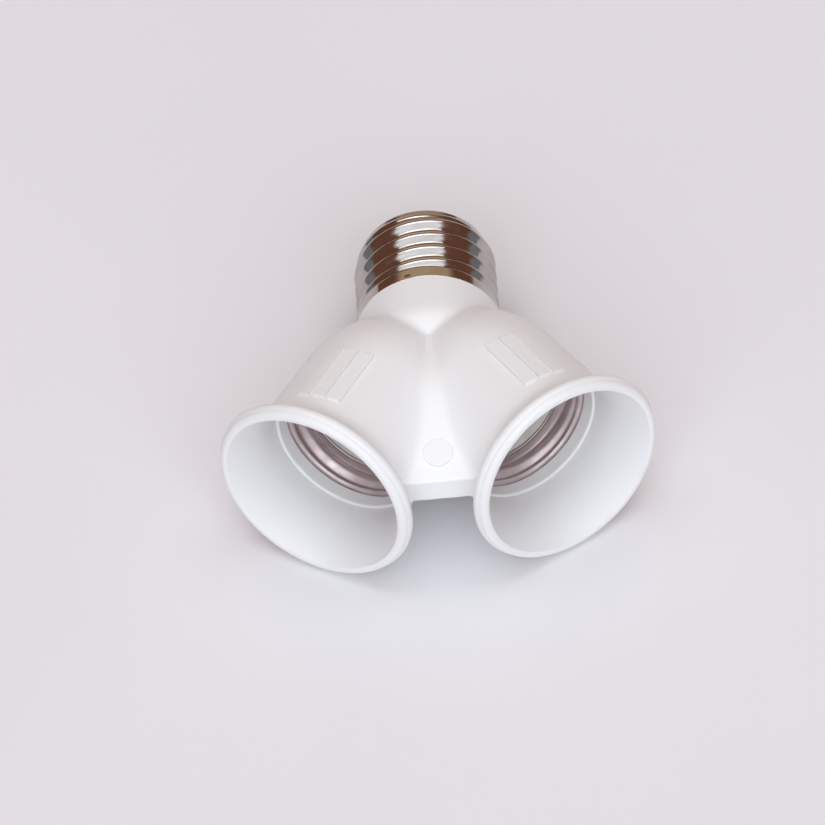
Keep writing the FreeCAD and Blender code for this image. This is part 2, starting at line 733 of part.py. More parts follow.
def live_lead(side):
    """From the cap contact through the neck to the rivet of one centre contact."""
    shell_end = cap_sizes()[2]
    out = Vector(side, 0, 0)
    inner = shell_end - INSULATOR_DEPTH - 1.1
    end = rivet_tail(side)
    along = Vector(side * SIN, -COS, 0)
    near = end - along * 1.2
    lead = bent_wire([
        out * LEAD_SPACING + Vector(0, inner, 0),
        out * LEAD_SPACING * 1.2 + Vector(0, 6, 0),
        end - along * 6.5,
        near,
    ], LEAD_R, LEAD_BEND)
    bare = Part.makeCylinder(CONDUCTOR_R, 1.15, near, along)
    tip = Part.makeCylinder(CONDUCTOR_R, shell_end + INSULATOR_NOSE + 0.8 - inner,
                            out * LEAD_SPACING + Vector(0, inner, 0), Vector(0, 1, 0))
    return lead.fuse(bare).fuse(tip)


def shell_joint():
    """Middle of the solder that ties both neutral leads to the inside of the cap. It
    lies in the hollow of a crest."""
    reach = CAP_CREST_R - CAP_WALL - JOINT_R - 0.2
    return Vector(0, CREST_PLACE - PITCH / 2, -reach)


def tab_point(side):
    """End of the lower fixing tab of one holder shell, on its inner face."""
    return barrel_point(side, 0, -(TAB_R - HOLDER_WALL), SHELL_BACK - TAB_REACH)


def neutral_lead(side):
    """From the cap shell through the neck to the lower tab of one holder shell."""
    start = shell_joint() + Vector(side * (LEAD_R + 0.15), -0.6, 1.0)
    along = Vector(side * SIN, -COS, 0)
    end = tab_point(side) + UP * (LEAD_R + 0.1) - along * 2.4
    lead = bent_wire([
        start,
        Vector(side * 1.6, 7.8, -(SPIGOT_BORE_R - LEAD_R - 1.2)),
        Vector(side * 2.6, -2.0, -(neck_root_radius() - NECK_ROOT_WALL - LEAD_R - 1.7)),
        end - along * 6.0 + UP * 1.8,
        end,
    ], LEAD_R, LEAD_BEND)
    bare = Part.makeCylinder(CONDUCTOR_R, 1.8, end, along)
    return lead.fuse(bare)


def solder_joint(centre, radius, cutters):
    """A rounded drop of solder round what it joins."""
    drop = Part.makeSphere(radius, centre)
    for cutter in cutters:
        drop = drop.cut(cutter)
    return max(drop.Solids, key=lambda solid: solid.Volume)


# How the body frame lies on the table

def resting_tilt(shell):
    """Tilt and lift that bring the rims and the last cap crest to the same level."""
    barrel = barrel_to_body(barrel_skin(), 1)

    def level(shape, tilt):
        turned = shape.copy()
        turned.rotate(Vector(0, 0, 0), Vector(1, 0, 0), -tilt)
        return turned.optimalBoundingBox(False).ZMin

    low, high = 3.0, 10.0
    for _ in range(5):
        low_step = level(barrel, low) - level(shell, low)
        high_step = level(barrel, high) - level(shell, high)
        if abs(high - low) < 1e-3:
            break
        tilt = low - low_step * (high - low) / (high_step - low_step)
        low, high = tilt, low
    return low, -min(level(barrel, low), level(shell, low))


def build():
    nodes = {"housing": housing()}
    lives = {side: live_lead(side) for side in (-1, 1)}
    neutrals = {side: neutral_lead(side) for side in (-1, 1)}
    nodes["cap_shell"] = cap_to_body(cap_shell())
    nodes["cap_insulator"] = cap_to_body(cap_insulator())
    nodes["cap_contact"] = cap_to_body(cap_contact())
    ends = []
    for side in (-1, 1):
        end = lives[side].copy()
        end.rotate(Vector(0, 0, 0), Vector(1, 0, 0), 90)
        ends.append(end)
    nodes["cap_solder"] = cap_to_body(cap_solder(ends))
    nodes["cap_shell_solder"] = solder_joint(shell_joint(), JOINT_R, neutrals.values())
    for side, name in ((-1, "left"), (1, "right")):
        rivet = barrel_to_body(outwards(contact_rivet(), side), side)
        shell = barrel_to_body(holder_shell(), side)
        base = barrel_to_body(outwards(holder_base(), side), side)
        nodes[name + "_collar"] = barrel_to_body(holder_collar(), side)
        nodes[name + "_screw_shell"] = shell
        nodes[name + "_base"] = trimmed_at_centre(base, side)
        nodes[name + "_contact_strip"] = barrel_to_body(outwards(contact_strip(), side), side)
        nodes[name + "_contact_rivet"] = rivet
        nodes[name + "_live_lead"] = lives[side]
        nodes[name + "_neutral_lead"] = neutrals[side]
        along = Vector(side * SIN, -COS, 0)
        nodes[name + "_live_solder"] = solder_joint(
            rivet_tail(side) - along * 0.5, 1.1, (rivet, lives[side]))
        nodes[name + "_neutral_solder"] = solder_joint(
            tab_point(side) + UP * 0.6 - along, 1.1, (shell, neutrals[side]))
    return nodes


def main():
    nodes = build()
    tilt, lift = resting_tilt(nodes["cap_shell"])
    lay = Placement(Vector(0, 0, lift), Rotation(Vector(1, 0, 0), -tilt))
    for shape in nodes.values():
        shape.Placement = lay.multiply(shape.Placement)
    boxes = [nodes[name].optimalBoundingBox(False) for name in ("housing", "cap_shell", "cap_solder")]
    low = min(box.YMin for box in boxes)
    high = max(box.YMax for box in boxes)
    shift = Vector(0, -(low + high) / 2, 0)
    print("tilt %.3f degrees, lifted %.3f, shifted %.3f in Y" % (tilt, lift, shift.y))
    for name, shape in nodes.items():
        shape.translate(shift)
        solids = shape.Solids
        print("%-22s solids %d  volume %9.2f  valid %s"
              % (name, len(solids), shape.Volume, shape.isValid()))
        shape = solids[0] if len(solids) == 1 else Part.makeCompound(solids)
        shape.exportStep("parts/" + name + ".step")


main()
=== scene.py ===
# %% [markdown]
# # A two-way lamp adapter
#
# The object is a white moulded Y. A metal screw cap sits on its neck, and its two
# barrels end in flared rims with a screw lampholder deep inside each. The solids come
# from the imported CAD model, which stays where it is. This lesson adds what they leave
# out: the rolled screw threads, the finishes, the table, the light and the camera.

# %% Load the CAD model
import json
import math

import bmesh
import bpy
from mathutils import Matrix, Vector


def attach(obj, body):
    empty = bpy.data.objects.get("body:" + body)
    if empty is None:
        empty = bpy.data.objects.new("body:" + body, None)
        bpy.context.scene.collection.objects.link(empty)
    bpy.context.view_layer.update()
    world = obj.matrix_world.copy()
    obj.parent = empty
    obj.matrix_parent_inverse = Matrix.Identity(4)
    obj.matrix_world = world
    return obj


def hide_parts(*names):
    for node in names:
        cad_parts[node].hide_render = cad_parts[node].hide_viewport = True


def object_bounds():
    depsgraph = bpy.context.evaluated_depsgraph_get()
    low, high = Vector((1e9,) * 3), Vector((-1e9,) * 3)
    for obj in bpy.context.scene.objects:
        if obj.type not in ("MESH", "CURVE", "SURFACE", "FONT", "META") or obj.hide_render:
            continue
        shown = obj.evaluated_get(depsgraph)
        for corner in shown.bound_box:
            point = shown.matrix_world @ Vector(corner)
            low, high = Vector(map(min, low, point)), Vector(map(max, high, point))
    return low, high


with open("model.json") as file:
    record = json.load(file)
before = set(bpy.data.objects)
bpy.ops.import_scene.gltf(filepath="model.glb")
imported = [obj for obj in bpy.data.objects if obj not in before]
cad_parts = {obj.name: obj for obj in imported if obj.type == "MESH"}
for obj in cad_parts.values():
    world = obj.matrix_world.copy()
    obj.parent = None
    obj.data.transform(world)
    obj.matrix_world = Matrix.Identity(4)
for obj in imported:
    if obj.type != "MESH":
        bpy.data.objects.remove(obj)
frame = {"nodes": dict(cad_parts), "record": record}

cad_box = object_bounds()
MM = 0.001
print("CAD nodes:", len(frame["nodes"]), "box:", [round(size, 4) for size in cad_box[1]])

# %% [markdown]
# ## Where the axes are
#
# Everything round on this object turns about one of three lines: the axis of the cap
# and the axes of the two barrels. All three meet at one point in the neck. The record
# gives a point and a direction for each, so the meeting point needs no typed number:
# it is where a barrel's axis reaches the middle plane, X = 0.

# %% Find the three axes and their meeting point
RIGHTWARDS = Vector((1, 0, 0))

mounts = {mount["name"]: mount for mount in frame["record"]["mounts"]}
cap_axis = Vector(mounts["lamp_cap"]["axis"]).normalized()
socket_axis = {side: Vector(mounts[side + "_socket"]["axis"]).normalized()
               for side in ("left", "right")}
on_axis = Vector(mounts["right_socket"]["pos_m"])
meeting_point = on_axis - socket_axis["right"] * (on_axis.x / socket_axis["right"].x)
print("axes meet at", [round(value / MM, 2) for value in meeting_point], "mm")


# %% A frame whose Z runs along one of the axes
def axis_frame(axis):
    """Z along the axis, X level and to the right, the origin where the axes meet."""
    up = RIGHTWARDS.cross(cap_axis).normalized()
    across = up.cross(axis).normalized()
    if across.x < 0:
        across, up = -across, -up
    turn = Matrix((across, axis.cross(across), axis)).transposed().to_4x4()
    return Matrix.Translation(meeting_point) @ turn


cap_frame = axis_frame(cap_axis)
socket_frame = {side: axis_frame(axis) for side, axis in socket_axis.items()}

# %% [markdown]
# ## The rolled screw thread
#
# The thread of a lamp cap is rolled into thin sheet, so it has no sharp edge: cut
# along the axis it is a soft wave. Three ways to make it come to mind. A curve with a
# bevel would lie on the tube as a separate cord. A spin with a rise makes a true helix
# but leaves ragged ends. Here a plain tube is spun first, with many rows of points
# along its length. Then each point moves in or out by a cosine of its angle and its
# height, and the wave fades out at both ends, as a real thread runs out.

# %% The thread's sizes
PITCH = 3.629                 # one turn, in millimetres: seven turns to the inch
WAVE = 0.55                   # half the height from root to crest
ROWS_PER_TURN = 20
TUBE_SEGMENTS = 144
SAME_POINT = 1e-7             # metres: points that are this near are one


def eased(value):
    """A soft step from 0 to 1."""
    value = min(1.0, max(0.0, value))
    return value * value * (3 - 2 * value)


def helix(angle, height, crest_at):
    """1 on the crest and -1 in the root. At angle 0 a crest is at the height crest_at."""
    return math.cos(angle - math.tau * (height - crest_at) / PITCH)


# %% Rows of points along a sheet
def bend(radius, height, steps):
    """The points of a bend, as steps outwards and upwards from one corner."""
    return [(radius + out, height + rise) for out, rise in steps]


def sheet_outline(stations, wall):
    """A closed outline of sheet metal, (radius, height) in millimetres. The stations are
    the outer face. Long stretches are cut into rows that are fine enough for the wave."""
    step = PITCH / ROWS_PER_TURN
    outer = [stations[0]]
    for (r0, z0), (r1, z1) in zip(stations, stations[1:]):
        count = max(1, math.ceil(math.hypot(r1 - r0, z1 - z0) / step))
        outer += [(r0 + (r1 - r0) * i / count, z0 + (z1 - z0) * i / count)
                  for i in range(1, count + 1)]
    inner = []
    for i, (r, z) in enumerate(outer):
        before, after = outer[max(0, i - 1)], outer[min(len(outer) - 1, i + 1)]
        along = Vector((after[0] - before[0], after[1] - before[1])).normalized()
        inner.append((r - wall * along.y, z + wall * along.x))
    return outer + inner[::-1]


# %% Spin the outline and push the thread into it
def rolled_sheet(outline, push_at):
    """Spin a closed outline about Z, then move every point outwards by what push_at
    gives, in millimetres, for its angle and its height."""
    bm = bmesh.new()
    ring = [bm.verts.new((r * MM, 0, z * MM)) for r, z in outline]
    edges = [bm.edges.new((a, b)) for a, b in zip(ring, ring[1:] + ring[:1])]
    bmesh.ops.spin(bm, geom=ring + edges, cent=(0, 0, 0), axis=(0, 0, 1),
                   angle=math.tau, steps=TUBE_SEGMENTS, use_merge=True)
    bmesh.ops.remove_doubles(bm, verts=bm.verts, dist=SAME_POINT)
    bmesh.ops.recalc_face_normals(bm, faces=bm.faces)
    for vert in bm.verts:
        angle, height = math.atan2(vert.co.y, vert.co.x), vert.co.z / MM
        radius = math.hypot(vert.co.x, vert.co.y)
        grow = (radius + push_at(angle, height) * MM) / radius
        vert.co.x *= grow
        vert.co.y *= grow
    return bm


# %% Make a piece of the sheet
def placed(bm, name, place):
    """Lay the sheet along its axis and put it in the scene."""
    bmesh.ops.transform(bm, matrix=place, verts=bm.verts)
    mesh = bpy.data.meshes.new(name)
    bm.to_mesh(mesh)
    bm.free()
    mesh.shade_smooth()
    shell = bpy.data.objects.new(name, mesh)
    bpy.context.scene.collection.objects.link(shell)
    print(name, "has", len(mesh.polygons), "faces")
    return shell


# %% [markdown]
# ## The cap's shell
#
# On the real adapter the shell is pushed over the neck's spigot and held by punch
# dents in the plain band beside the neck. Its far end turns in over the dark
# insulator. In the CAD model it is a plain tube at crest height, so the rolled one
# stays inside the same room.

# %% The cap's outline, from the neck to its far end
NECK_FACE = 1.10              # where the shell starts, from the meeting point
BAND_END = 3.70               # end of the plain band
BAND_R = 13.10
STEP_LEAD = 0.1               # the sheet leaves the band this far before its end ...
STEP_TAIL = 0.9               # ... and meets the thread this far after it
MIDDLE_R = 12.65              # halfway between root and crest
ROOT_R = 12.10
CAP_THREAD_END = 19.60
RUN_OUT = 1.3                 # the last of the thread, which sinks to the root
SHOULDER = ((0, 0), (-0.12, 0.90), (-0.55, 1.55), (-1.20, 2.02))   # from the root there
CAP_END = 21.92
CAP_LIP_R = 9.80
CAP_WALL = 0.30

cap_outline = sheet_outline([
    (BAND_R, NECK_FACE), (BAND_R, BAND_END - STEP_LEAD), (MIDDLE_R, BAND_END + STEP_TAIL),
    (MIDDLE_R, CAP_THREAD_END - RUN_OUT), *bend(ROOT_R, CAP_THREAD_END, SHOULDER),
    (CAP_LIP_R, CAP_END),
], CAP_WALL)
print("cap outline:", len(cap_outline), "points")

# %% The thread and the dents of the cap
CREST_AT_TOP = 12.85          # a crest crosses the cap's top line here
FADE_IN = 1.1                 # lengths over which the wave grows and dies away
FADE_OUT = 1.4
DENT_COUNT = 8
FIRST_DENT = -13              # degrees from the top line
DENT_INSET = 0.55             # from the neck's face to the middle of a dent
DENT_R = 0.75
DENT_DEPTH = 0.22
DENT_CIRCLE_R = 13.0          # turns an angle into millimetres along the band

top_of_cap = -math.pi / 2     # the cap frame's Y points down once the cap lies flat
crest_at = CREST_AT_TOP - PITCH * top_of_cap / math.tau
dent_angles = [top_of_cap + math.radians(FIRST_DENT + 360 / DENT_COUNT * i)
               for i in range(DENT_COUNT)]


def cap_dent(angle, height):
    """Soft round hollows: full depth in the middle, nearly gone at their radius."""
    depth = 0.0
    for dent_angle in dent_angles:
        aside = math.atan2(math.sin(angle - dent_angle), math.cos(angle - dent_angle))
        away = math.hypot(aside * DENT_CIRCLE_R, height - NECK_FACE - DENT_INSET) / DENT_R
        depth += DENT_DEPTH * math.exp(-2 * away * away)
    return depth


def cap_push(angle, height):
    """The wave is full in the middle, and nothing on the band and on the shoulder."""
    wave = WAVE * min(eased((height - BAND_END + STEP_LEAD) / FADE_IN),
                      eased((CAP_THREAD_END - height) / FADE_OUT))
    return wave * helix(angle, height, crest_at) - cap_dent(angle, height)


# %% Roll the cap
cap_shell = placed(rolled_sheet(cap_outline, cap_push), "rolled_cap_shell", cap_frame)
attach(cap_shell, "adapter")
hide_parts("cap_shell")

# %% [markdown]
# ## The two screw shells
#
# Deep in each barrel sits a short threaded shell that takes the lamp. Its front edge is
# rolled outwards, its floor turns in over the base, and two tabs are bent down through
# the base to hold it there. The wave is the same as on the cap, a little wider, so that
# a lamp turns in it freely. A tab could be pulled out of the floor's own edge, but the
# floor hides where they join, so a thin block that is sunk into it does as well.

# %% The holder shell's outline, from its floor to its front edge
SHELL_FRONT = 30.30
SHELL_BACK = 24.90
SHELL_WIDE_R = 13.35          # inside, at the widest
SHELL_WALL = 0.35
SHELL_LIP_R = 11.60
BEAD_R = 14.10
FLOOR_BEND = ((-0.30, 0.25), (0, 0.60))        # from the wall and the back
RIM_BEND = ((0, -0.85), (0.25, -0.50))         # from the wall and the front
BEAD_EDGE = ((-0.20, -0.42), (0, -0.35))       # from the bead and the front

shell_middle_r = SHELL_WIDE_R - WAVE + SHELL_WALL
shell_outline = sheet_outline([
    (SHELL_LIP_R, SHELL_BACK), (SHELL_WIDE_R - 2 * WAVE, SHELL_BACK),
    *bend(shell_middle_r, SHELL_BACK, FLOOR_BEND),
    *bend(shell_middle_r, SHELL_FRONT, RIM_BEND),
    *bend(BEAD_R, SHELL_FRONT, BEAD_EDGE),
], SHELL_WALL)
print("holder outline:", len(shell_outline), "points")

# %% The thread of the holder shell
PLAIN_BACK = 0.2              # no wave this near the floor ...
PLAIN_FRONT = 0.5             # ... and this near the front edge
SHELL_FADE = 0.9


def holder_push(angle, height):
    """The wave is full in the middle, and nothing at the floor and the front edge."""
    wave = WAVE * min(eased((height - SHELL_BACK - PLAIN_BACK) / SHELL_FADE),
                      eased((SHELL_FRONT - PLAIN_FRONT - height) / SHELL_FADE))
    return wave * helix(angle, height, SHELL_FRONT)


# %% A tab that is bent down from the floor
TAB_WIDTH = 4.0
TAB_R = 12.05
TAB_REACH = 4.3
TAB_SUNK = 0.05               # how far it goes up into the floor
TAB_CORNER = 0.9


def bent_tab(bm, facing):
    """A strip of the same sheet, above (1) or below (-1) the axis. A block is stretched
    to size, and the two corners at its end are rounded off."""
    reach = TAB_REACH + TAB_SUNK
    verts = bmesh.ops.create_cube(bm, size=MM)["verts"]
    bmesh.ops.scale(bm, vec=(TAB_WIDTH, SHELL_WALL, reach), verts=verts)
    centre = Vector((0, facing * (TAB_R - SHELL_WALL / 2), SHELL_BACK + TAB_SUNK - reach / 2))
    centre *= MM
    bmesh.ops.translate(bm, vec=centre, verts=verts)
    corners = [edge for edge in bm.edges
               if all(vert in verts and vert.co.z < centre.z for vert in edge.verts)
               and abs(edge.verts[0].co.x - edge.verts[1].co.x) < SAME_POINT]
    bmesh.ops.bevel(bm, geom=corners, offset=TAB_CORNER * MM, segments=4, profile=0.5,
                    affect="EDGES", material=-1)


# %% Roll the holder shells
holder_shells = {}
for side, place in socket_frame.items():
    sheet = rolled_sheet(shell_outline, holder_push)
    for facing in (1, -1):
        bent_tab(sheet, facing)
    shell = placed(sheet, side + "_rolled_screw_shell", place)
    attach(shell, "adapter")
    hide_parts(side + "_screw_shell")
    holder_shells[side] = shell

# %% [markdown]
# ## White plastic
#
# The moulding is glossy white. Three things keep it from looking like paper: a gloss
# that is uneven at the scale of a fingertip, a faint ripple where the plastic shrank as
# it cooled, and a few dark specks of dust in the granulate. The specks could be dots,
# modelled one by one. A Voronoi texture has one to a cell, in places that look random
# and stay the same, and only the cells whose middle lies in the surface show theirs.
# All is read from Object coordinates, in metres, so a noise scale of 1000 has details
# of about a millimetre.


# %% Helpers for node materials
def new_material(name, metallic=0.0, roughness=0.5):
    material = bpy.data.materials.new(name)
    material.use_nodes = True
    shader = material.node_tree.nodes["Principled BSDF"]
    shader.inputs["Metallic"].default_value = metallic
    shader.inputs["Roughness"].default_value = roughness
    return material, shader


def noise(material, scale, detail):
    """A noise on Object coordinates. The scale is in waves to the metre."""
    nodes, links = material.node_tree.nodes, material.node_tree.links
    place = nodes.new("ShaderNodeTexCoord")
    texture = nodes.new("ShaderNodeTexNoise")
    texture.inputs["Scale"].default_value = scale
    texture.inputs["Detail"].default_value = detail
    links.new(place.outputs["Object"], texture.inputs["Vector"])
    return texture.outputs["Fac"]


def spread(material, value, low, high, start=0.35, end=0.65):
    """Spread a value between two numbers. A noise is mostly between 0.35 and 0.65."""
    node = material.node_tree.nodes.new("ShaderNodeMapRange")
    node.inputs["From Min"].default_value = start
    node.inputs["From Max"].default_value = end
    node.inputs["To Min"].default_value = low
    node.inputs["To Max"].default_value = high
    material.node_tree.links.new(value, node.inputs["Value"])
    return node.outputs["Result"]


def tint(material, value, first, second):
    """Mix two colours by a value from 0 to 1."""
    node = material.node_tree.nodes.new("ShaderNodeMix")
    node.data_type = "RGBA"
    node.inputs["A"].default_value = (*first, 1)
    node.inputs["B"].default_value = (*second, 1)
    material.node_tree.links.new(value, node.inputs["Factor"])
    return node.outputs["Result"]


# %% Helpers that feed the shader
def colour_from(material, shader, value, first, second):
    """Let the colour wander between two tints."""
    colour = tint(material, value, first, second)
    material.node_tree.links.new(colour, shader.inputs["Base Color"])


def gloss_from(material, shader, value, low, high, start=0.35, end=0.65):
    """Let the roughness wander between two numbers."""
    gloss = spread(material, value, low, high, start, end)
    material.node_tree.links.new(gloss, shader.inputs["Roughness"])


def ripple(material, shader, value, depth_mm, strength):
    """Use a noise as a height, so that reflections waver a little."""
    node = material.node_tree.nodes.new("ShaderNodeBump")
    node.inputs["Strength"].default_value = strength
    node.inputs["Distance"].default_value = depth_mm * MM
    material.node_tree.links.new(value, node.inputs["Height"])
    material.node_tree.links.new(node.outputs["Normal"], shader.inputs["Normal"])


# %% Glossy white moulding
WIDE = (0.2, 0.8)             # nearly the whole swing of a noise, for a soft change
SPECK_CELLS = 88              # cells to the metre, with a speck in the middle of each
SPECK_EDGE = (0.012, 0.028)   # where a speck starts to fade and is gone, in cells
SPECK_DARKNESS = 0.55
SPECK_COLOUR = (0.30, 0.25, 0.20)


def white_moulding():
    material, shader = new_material("glossy_white_moulding")
    shader.inputs["Specular IOR Level"].default_value = 0.38
    cloud = spread(material, noise(material, 45, 3), 0, 1, *WIDE)
    body = tint(material, cloud, (0.855, 0.853, 0.857), (0.875, 0.871, 0.873))
    nodes, links = material.node_tree.nodes, material.node_tree.links
    place = nodes.new("ShaderNodeTexCoord")
    grains = nodes.new("ShaderNodeTexVoronoi")
    grains.inputs["Scale"].default_value = SPECK_CELLS
    links.new(place.outputs["Object"], grains.inputs["Vector"])
    speck = spread(material, grains.outputs["Distance"], SPECK_DARKNESS, 0, *SPECK_EDGE)
    dusted = nodes.new("ShaderNodeMix")
    dusted.data_type = "RGBA"
    dusted.inputs["B"].default_value = (*SPECK_COLOUR, 1)
    links.new(speck, dusted.inputs["Factor"])
    links.new(body, dusted.inputs["A"])
    links.new(dusted.outputs["Result"], shader.inputs["Base Color"])
    gloss_from(material, shader, noise(material, 130, 3), 0.285, 0.36, *WIDE)
    ripple(material, shader, noise(material, 260, 2), 0.05, 0.35)
    return material


# %% [markdown]
# ## Plated sheet, brass and solder
#
# Nickel on rolled steel is a mirror with a warm grey tint. It shows the room more than
# itself, so its colour matters less than a gloss that changes where fingers and the
# rolling tool have touched it. Brass keeps a yellow base and is duller. Solder has
# frozen from a liquid: grey, soft in gloss, with a faint crust. One colour and one
# gloss would do for each from afar, but up close they would look like paint.


# %% Metals
def plated_nickel():
    material, shader = new_material("plated_nickel", metallic=1.0)
    worn = spread(material, noise(material, 220, 4), 0, 1)
    colour_from(material, shader, worn, (0.49, 0.45, 0.42), (0.55, 0.52, 0.50))
    gloss_from(material, shader, noise(material, 500, 4), 0.06, 0.15)
    ripple(material, shader, noise(material, 420, 2), 0.02, 0.5)
    return material


def shade_tinted_nickel():
    """The sheet deep in the barrels, in shade: its shine is blurred, and its pinkish tint is
    painted reflection of the brown room.
    """
    material, shader = new_material("shade_tinted_nickel", metallic=1.0)
    worn = spread(material, noise(material, 260, 4), 0, 1)
    # pinkish tints: painted reflection of the brown room, as the shaded metal shows it
    colour_from(material, shader, worn, (0.57, 0.475, 0.48), (0.67, 0.58, 0.585))
    gloss_from(material, shader, noise(material, 600, 4), 0.42, 0.55)
    ripple(material, shader, noise(material, 500, 2), 0.02, 0.5)
    return material


def satin_brass():
    material, shader = new_material("satin_brass", metallic=1.0)
    tarnish = spread(material, noise(material, 300, 4), 0, 1, 0.4, 0.75)
    colour_from(material, shader, tarnish, (0.76, 0.57, 0.30), (0.50, 0.33, 0.16))
    gloss_from(material, shader, noise(material, 900, 4), 0.29, 0.42)
    return material


def frozen_solder():
    material, shader = new_material("frozen_solder", metallic=1.0, roughness=0.32)
    crust = noise(material, 1400, 4)
    pits = spread(material, crust, 0, 1)
    colour_from(material, shader, pits, (0.50, 0.50, 0.51), (0.72, 0.72, 0.73))
    ripple(material, shader, crust, 0.08, 0.7)
    return material


# %% [markdown]
# ## Glass, base moulding and wire
#
# The plug in the end of the cap is dark glass, smooth because it was poured. The bases
# are a duller and greyer plastic than the housing, made to stand heat. The wires wear a
# soft matt sleeve. All three are in shade, so a cloud of two tints is detail enough.


# %% Insulators
def dark_glass():
    material, shader = new_material("dark_glass_plug", roughness=0.08)
    streaks = spread(material, noise(material, 350, 3), 0, 1)
    colour_from(material, shader, streaks, (0.008, 0.007, 0.012), (0.035, 0.022, 0.030))
    return material


def dull_moulding():
    material, shader = new_material("dull_base_moulding", roughness=0.5)
    cloud = spread(material, noise(material, 200, 4), 0, 1)
    colour_from(material, shader, cloud, (0.58, 0.56, 0.53), (0.68, 0.66, 0.63))
    ripple(material, shader, noise(material, 1200, 3), 0.03, 0.5)
    return material


def wire_sleeve(name, colour):
    material, shader = new_material(name, roughness=0.45)
    paler = tuple(min(1.0, value * 1.25 + 0.01) for value in colour)
    cloud = spread(material, noise(material, 400, 3), 0, 1)
    colour_from(material, shader, cloud, colour, paler)
    ripple(material, shader, noise(material, 900, 2), 0.03, 0.4)
    return material


# %% [markdown]
# ## Put a finish on every piece
#
# The record gives each CAD node a material slot, so one table from slot to finish
# dresses them all. The rolled cap takes the bright nickel of its slot. The two screw
# shells are in the same slot, but deep in shade, so they get a copy of the nickel with
# a blurred shine and a pinkish tint: painted reflection of the brown room in that shade.

# %% Dress the pieces
finishes = {
    "white_plastic": white_moulding(),
    "white_moulding": dull_moulding(),
    "nickelled_sheet": plated_nickel(),
    "dark_glass": dark_glass(),
    "contact_brass": satin_brass(),
    "solder": frozen_solder(),
    "lead_sleeve": wire_sleeve("dark_wire_sleeve", (0.03, 0.03, 0.035)),
    "lead_sleeve_light": wire_sleeve("pale_wire_sleeve", (0.55, 0.55, 0.54)),
}
finishes["spring_brass"] = finishes["contact_brass"]

slot_of = {part["node"]: part["material_slot"] for part in frame["record"]["subparts"]}
for node, piece in frame["nodes"].items():
    piece.data.materials.clear()
    piece.data.materials.append(finishes[slot_of[node]])
cap_shell.data.materials.append(finishes["nickelled_sheet"])
# a nickel for the shaded holders, whose pinkish tint is painted reflection of the room
inner_sheet = shade_tinted_nickel()
for shell in holder_shells.values():
    shell.data.materials.append(inner_sheet)
print("finishes:", len(finishes), "on", len(frame["nodes"]), "nodes")

# %% [markdown]
# ## Table
#
# A wide pale table with a faint lilac cast. It is a little glossy, so the adapter has a
# weak reflection where it touches, and it has to reach far enough to fill the view. A
# grid of one face is enough, because all of its look is in the material.

# %% Lay the table
TABLE_HALF = 3.0              # metres


def pale_table():
    material, shader = new_material("pale_table", roughness=0.5)
    shader.inputs["Specular IOR Level"].default_value = 0.25
    cloud = spread(material, noise(material, 9, 3), 0, 1)
    colour_from(material, shader, cloud, (0.820, 0.806, 0.832), (0.840, 0.826, 0.850))
    return material


bm = bmesh.new()
bmesh.ops.create_grid(bm, x_segments=1, y_segments=1, size=TABLE_HALF)
table_mesh = bpy.data.meshes.new("table")
bm.to_mesh(table_mesh)
bm.free()
table = bpy.data.objects.new("table", table_mesh)
bpy.context.scene.collection.objects.link(table)
table_mesh.materials.append(pale_table())
print("table:", [round(size, 2) for size in table.dimensions], "m")

# %% [markdown]
# ## Light
#
# Small bright streaks on the cone floors and on every ridge of the cap tell where the
# light of the photograph is: a long lamp overhead, crosswise. The floors of both cones
# are as bright as the table, so a second, broad lamp has to shine in from the front.
# White plastic takes its shape from both and from the pale table that throws their
# light back. All the powers are low enough that no large area burns out.

# %% Hang the lamps
COOL_WHITE = (0.88, 0.957, 1.0)
middle = (Vector(cad_box[0]) + Vector(cad_box[1])) / 2


def soft_light(name, size, watts, from_middle):
    """A rectangular lamp, in metres, that faces the middle of the adapter."""
    light = bpy.data.lights.new(name, "AREA")
    light.shape = "RECTANGLE"
    light.size, light.size_y = size
    light.energy = watts
    light.color = COOL_WHITE
    lamp = bpy.data.objects.new(name, light)
    lamp.location = middle + Vector(from_middle)
    lamp.rotation_euler = (middle - lamp.location).to_track_quat("-Z", "Y").to_euler()
    bpy.context.scene.collection.objects.link(lamp)
    print(name, "hangs at", [round(value, 3) for value in lamp.location])


soft_light("long_lamp", size=(1.75, 0.70), watts=6.6, from_middle=(0.0, 0.13, 1.4))
soft_light("lamp_in_front", size=(2.0, 1.1), watts=10.5, from_middle=(0.0, -1.35, 1.10))

# %% [markdown]
# ## The room in the mirror
#
# The cap is a row of small mirrors, so it needs a room to show. A photograph of a room
# would do, and so would real walls built round the table. Here the room is painted on
# the world by direction, because soft patches are all that a ridge can show: a brown
# wall behind with a tan shelf below it, dark sides, a pale front and a bright strip
# overhead. Each patch is a colour and a strength, and slopes blend them.

# %% Three numbers for every direction
world = bpy.data.worlds.new("room")
bpy.context.scene.world = world
world.use_nodes = True
room_nodes, room_links = world.node_tree.nodes, world.node_tree.links
room_nodes.clear()

direction = room_nodes.new("ShaderNodeTexCoord")
parts = room_nodes.new("ShaderNodeSeparateXYZ")
room_links.new(direction.outputs["Generated"], parts.inputs["Vector"])
unsigned = room_nodes.new("ShaderNodeMath")
unsigned.operation = "ABSOLUTE"
room_links.new(parts.outputs["X"], unsigned.inputs[0])
sideways = unsigned.outputs["Value"]      # the same for left and right
backwards = parts.outputs["Y"]
upwards = parts.outputs["Z"]


# %% Helpers for the room
def background(colour, strength=1.0):
    node = room_nodes.new("ShaderNodeBackground")
    node.inputs["Color"].default_value = (*colour, 1)
    node.inputs["Strength"].default_value = strength
    return node.outputs["Background"]


def between(value, start, end):
    """0 before the start, 1 after the end, and a soft slope between them."""
    node = room_nodes.new("ShaderNodeMapRange")
    node.interpolation_type = "SMOOTHSTEP"
    node.inputs["From Min"].default_value = start
    node.inputs["From Max"].default_value = end
    room_links.new(value, node.inputs["Value"])
    return node.outputs["Result"]


